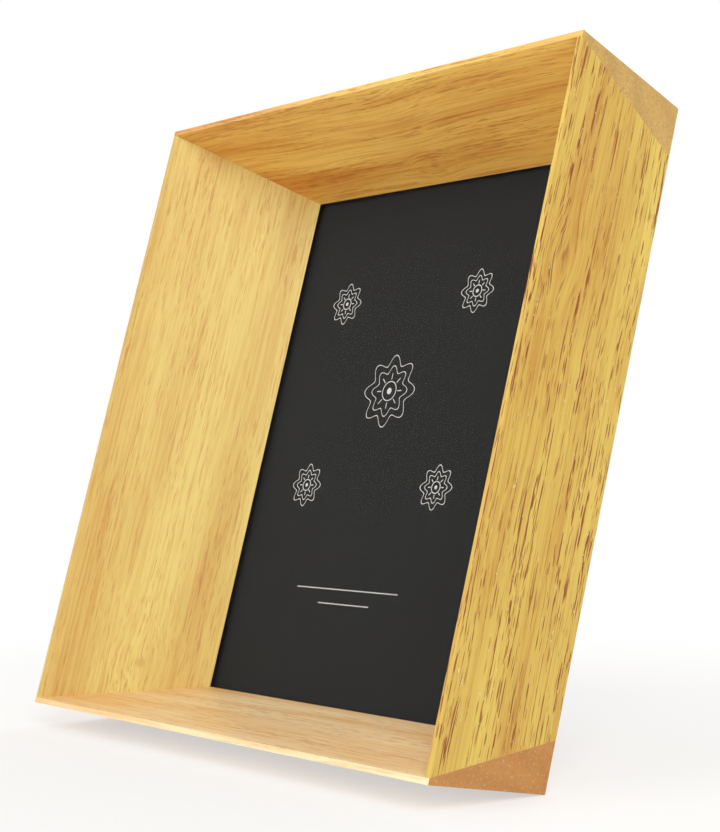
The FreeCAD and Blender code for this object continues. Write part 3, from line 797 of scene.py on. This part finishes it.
# Shares of the head's radius: its underside, and the flat middle of its crown
UNDERSIDE = 0.97
CROWN_FLAT = 0.55

# Shares of the head's height: the lower and upper end of its rim
RIM_LOW = 0.12
RIM_HIGH = 0.35

# Each screw's cross stands as it was driven: the first one's turn and the step to the next,
# in degrees
FIRST_TURN = 25
TURN_STEP = 37


def spun_mesh(name, profile):
    """A closed mesh turned about Z from (radius, height) points. Its ends are on the axis."""
    work = bmesh.new()
    turns = [2 * pi * side / SCREW_SIDES for side in range(SCREW_SIDES)]
    rings = []
    for radius, height in profile:
        if radius == 0:
            rings.append([work.verts.new((0, 0, height))])
            continue
        ring = [(radius * cos(turn), radius * sin(turn), height) for turn in turns]
        rings.append([work.verts.new(point) for point in ring])
    for low, high in zip(rings, rings[1:]):
        for side in range(SCREW_SIDES):
            after = (side + 1) % SCREW_SIDES
            corners = [low[side % len(low)], low[after % len(low)]]
            corners += [high[after % len(high)], high[side % len(high)]]
            work.faces.new(list(dict.fromkeys(corners)))
    bmesh.ops.recalc_face_normals(work, faces=work.faces)
    return finished_mesh(name, work)


def block_mesh(name, half_sizes, height):
    """A block with its middle at that height."""
    work = bmesh.new()
    bmesh.ops.create_cube(work, size=2)
    bmesh.ops.scale(work, vec=half_sizes, verts=work.verts)
    bmesh.ops.translate(work, vec=(0, 0, height), verts=work.verts)
    return finished_mesh(name, work)


def finished_mesh(name, work):
    mesh = bpy.data.meshes.new(name)
    work.to_mesh(mesh)
    work.free()
    return mesh


def placed_object(name, data):
    """A new object in the scene."""
    thing = bpy.data.objects.new(name, data)
    bpy.context.scene.collection.objects.link(thing)
    return thing


def screw_profile(settings):
    """(radius, height) points from the tip, up the shank and over the pan head."""
    shank, tip = settings.shank_radius, -settings.shank_length
    head, rise = settings.head_radius, settings.head_height
    profile = [(0, tip), (shank, tip + TIP_LENGTH * shank), (shank, 0)]
    profile += [(head * UNDERSIDE, 0), (head, rise * RIM_LOW)]
    for step in range(1, CROWN_STEPS):
        angle = pi / 2 * step / CROWN_STEPS
        radius = head * (CROWN_FLAT + (1 - CROWN_FLAT) * cos(angle))
        height = rise * (RIM_HIGH + (1 - RIM_HIGH) * sin(angle))
        profile.append((radius, height))
    profile.append((0, rise))
    return profile


def cut_cross(body, settings):
    """Cuts the two arms of the cross into a screw's head. Gives the two blocks that cut them."""
    reach, half_width = settings.cross_reach, settings.cross_width / 2
    cutters = []
    for number, (across, along) in enumerate(((reach, half_width), (half_width, reach))):
        name = f"cross_{number}"
        sizes = (across, along, settings.cross_depth)
        cutter = placed_object(name, block_mesh(name, sizes, settings.head_height))
        cutters.append(cutter)
        cut = body.modifiers.new(name, "BOOLEAN")
        cut.operation = "DIFFERENCE"
        cut.solver = "EXACT"
        cut.object = cutter
    return cutters


def screw_mesh(settings):
    """A pan-head screw about Z, its seat at 0, with a cross cut into its head."""
    body = placed_object("screw_blank", spun_mesh("screw_blank", screw_profile(settings)))
    cutters = cut_cross(body, settings)
    bpy.context.view_layer.update()
    graph = bpy.context.evaluated_depsgraph_get()
    mesh = bpy.data.meshes.new_from_object(body.evaluated_get(graph))
    for scrap in (body, *cutters):
        bpy.data.objects.remove(scrap)
    for face in mesh.polygons:
        face.use_smooth = True
    mesh.set_sharp_from_angle(angle=SHARP_ANGLE)
    return mesh


def fit_screws(context):
    """The turn buttons' screws, with the cross that the plain solids lack."""
    settings = context.scene.frame_fittings
    material = plated("screw_plate", settings)
    mesh = screw_mesh(settings)
    mesh.materials.clear()
    mesh.materials.append(material)
    pivots = {joint["name"]: joint for joint in frame["joints"]}
    for number, corner in enumerate(CORNERS):
        pivot = pivots[f"turn_{corner}"]
        out = Vector(pivot["axis"]).normalized()
        seat = Vector(pivot["pos_m"]) + out * settings.seat
        piece = placed_object(f"pan_screw_{corner}", mesh.copy())
        facing = out.to_track_quat("Z", "Y").to_matrix().to_4x4()
        turn = Matrix.Rotation(radians(FIRST_TURN + TURN_STEP * number), 4, "Z")
        piece.matrix_world = Matrix.Translation(seat) @ facing @ turn
        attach(piece, "frame")
        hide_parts(f"screw_{corner}")


# Stage

FLOOR_GRAIN = Figure(60, 3)
FLOOR_GRAIN_SHARE = 0.1
FLOOR_GRAIN_TONE = 0.97
FLOOR_HALF_DEPTH = 5 * MM
AMBIENT_COLOUR = (1, 0.985, 0.96, 1)
SENSOR_WIDTH = 36
CLIP_START = 10 * MM

# Round lamps that face the card: place and diameter in metres, power in watts
Lamp = namedtuple("Lamp", "name place diameter power")
LAMPS = (
    Lamp("key", (1.15, -0.75, 1.0), 0.9, 11),
    Lamp("front_fill", (-0.35, -1.5, 0.7), 1.0, 7),
    Lamp("back_fill", (-0.5, 1.4, 0.9), 1.0, 5),
)


def seen_directly(tree):
    """1 for rays from the camera, and for those seen in metal or through glass."""
    path = new_node(tree, "ShaderNodeLightPath").outputs
    rays = ("Is Camera Ray", "Is Glossy Ray", "Is Transmission Ray")
    return total(tree, "MAXIMUM", [path[ray] for ray in rays])


def floor_paint(settings):
    """Pale paint that turns plain white away from the frame, where it is seen directly."""
    material, tree, shader = new_material("floor_paint")
    place = object_place(tree)
    white = [settings.floor_white] * 3
    grain = times(tree, noise(tree, place, FLOOR_GRAIN), FLOOR_GRAIN_SHARE)
    set_inputs(tree, shader, {
        "Base Color": mixed(tree, grain, white, toned(white, FLOOR_GRAIN_TONE)),
        "Roughness": 0.85,
        "Specular IOR Level": 0.1,
    })
    away = vector_maths(tree, "LENGTH", place).outputs["Value"]
    fade = faded(tree, away, settings.fade_from, settings.fade_to)
    share = times(tree, ranged(tree, fade, settings.floor_glow, 1), seen_directly(tree))
    glow = new_node(tree, "ShaderNodeEmission", None, {"Color": WHITE, "Strength": 1})
    paint = mixed_shaders(tree, share, shader.outputs[0], glow.outputs[0])
    tree.links.new(paint, tree.nodes["Material Output"].inputs[0])
    return material


def build_floor(settings):
    half_side = settings.floor_size / 2
    half_sizes = (half_side, half_side, FLOOR_HALF_DEPTH)
    floor = placed_object("floor", block_mesh("floor", half_sizes, -FLOOR_HALF_DEPTH))
    floor.data.materials.append(floor_paint(settings))


def background(tree, colour, strength):
    inputs = {"Color": colour, "Strength": strength}
    return new_node(tree, "ShaderNodeBackground", None, inputs).outputs[0]


def build_world(context, settings):
    """Soft light from all round, and plain white where the world is seen directly."""
    world = bpy.data.worlds.new("soft_studio")
    world.use_nodes = True
    tree = world.node_tree
    tree.nodes.clear()
    ambient = background(tree, AMBIENT_COLOUR, settings.ambient)
    white = background(tree, WHITE, 1)
    surface = mixed_shaders(tree, seen_directly(tree), ambient, white)
    new_node(tree, "ShaderNodeOutputWorld", None, {"Surface": surface})
    context.scene.world = world


def add_lamp(lamp, target):
    light = bpy.data.lights.new(lamp.name, "AREA")
    light.shape = "DISK"
    light.size = lamp.diameter
    light.energy = lamp.power
    holder = placed_object(lamp.name, light)
    holder.location = lamp.place
    aim = target - Vector(lamp.place)
    holder.rotation_euler = aim.to_track_quat("-Z", "Y").to_euler()


def add_camera(context, settings):
    """The camera that sees the frame as the photo shows it."""
    view = bpy.data.cameras.new("photo_view")
    view.lens = settings.lens
    view.sensor_width = SENSOR_WIDTH
    view.sensor_fit = "AUTO"
    view.shift_x = settings.shift_across
    view.shift_y = settings.shift_up
    view.clip_start = CLIP_START
    camera = placed_object("photo_view", view)
    camera.location = settings.camera_place
    camera.rotation_euler = (pi / 2 - settings.camera_dip, 0, settings.camera_turn)
    context.scene.camera = camera


def build_stage(context):
    settings = context.scene.frame_stage
    build_floor(settings)
    build_world(context, settings)
    for lamp in LAMPS:
        add_lamp(lamp, card_centre())
    add_camera(context, settings)
    context.scene.view_settings.view_transform = "Standard"


# Add-on


class FinishRails(bpy.types.Operator):
    """Gives the four rails their lacquered wood and sanded edges"""

    bl_idname = "photo_frame.finish_rails"
    bl_label = "Finish Rails"

    def execute(self, context):
        finish_rails(context)
        return {"FINISHED"}


class FinishCard(bpy.types.Operator):
    """Prints the dark display card with line rosettes"""

    bl_idname = "photo_frame.finish_card"
    bl_label = "Print Card"

    def execute(self, context):
        finish_card(context)
        return {"FINISHED"}


class FinishGlass(bpy.types.Operator):
    """Makes the pane clear"""

    bl_idname = "photo_frame.finish_glass"
    bl_label = "Finish Glass"

    def execute(self, context):
        finish_glass(context)
        return {"FINISHED"}


class FinishBacking(bpy.types.Operator):
    """Gives the back board and the strut their fibreboard"""

    bl_idname = "photo_frame.finish_backing"
    bl_label = "Finish Backing"

    def execute(self, context):
        finish_backing(context)
        return {"FINISHED"}


class FinishFittings(bpy.types.Operator):
    """Plates the hinge, rivets, turn buttons, hanger and corner nails"""

    bl_idname = "photo_frame.finish_fittings"
    bl_label = "Finish Fittings"

    def execute(self, context):
        finish_fittings(context)
        return {"FINISHED"}


class FitScrews(bpy.types.Operator):
    """Fits cross-head screws in the turn buttons"""

    bl_idname = "photo_frame.fit_screws"
    bl_label = "Fit Screws"

    def execute(self, context):
        fit_screws(context)
        return {"FINISHED"}


class BuildStage(bpy.types.Operator):
    """Adds the floor, the soft light and the camera"""

    bl_idname = "photo_frame.build_stage"
    bl_label = "Build Stage"

    def execute(self, context):
        build_stage(context)
        return {"FINISHED"}


OPERATORS = (
    FinishRails, FinishCard, FinishGlass, FinishBacking, FinishFittings, FitScrews, BuildStage,
)
SETTINGS = {
    "frame_wood": WoodFinish,
    "frame_card": CardFinish,
    "frame_fittings": FittingFinish,
    "frame_stage": StageSetup,
}


class FramePanel(bpy.types.Panel):
    """Lists the steps that dress the photo frame"""

    bl_idname = "VIEW3D_PT_photo_frame"
    bl_label = "Photo Frame"
    bl_space_type = "VIEW_3D"
    bl_region_type = "UI"
    bl_category = "Photo Frame"

    def draw(self, context):
        for operator in OPERATORS:
            self.layout.operator(operator.bl_idname)
        for name, group in SETTINGS.items():
            box = self.layout.box()
            for field in group.__annotations__:
                box.prop(getattr(context.scene, name), field)


def register():
    for thing in (*SETTINGS.values(), *OPERATORS, FramePanel):
        bpy.utils.register_class(thing)
    for name, group in SETTINGS.items():
        setattr(bpy.types.Scene, name, PointerProperty(type=group))


def unregister():
    for name in SETTINGS:
        delattr(bpy.types.Scene, name)
    for thing in (FramePanel, *reversed(OPERATORS), *SETTINGS.values()):
        bpy.utils.unregister_class(thing)


def main():
    register()
    bpy.ops.photo_frame.finish_rails()
    bpy.ops.photo_frame.finish_card()
    bpy.ops.photo_frame.finish_glass()
    bpy.ops.photo_frame.finish_backing()
    bpy.ops.photo_frame.finish_fittings()
    bpy.ops.photo_frame.fit_screws()
    bpy.ops.photo_frame.build_stage()


if __name__ == "__main__":
    main()
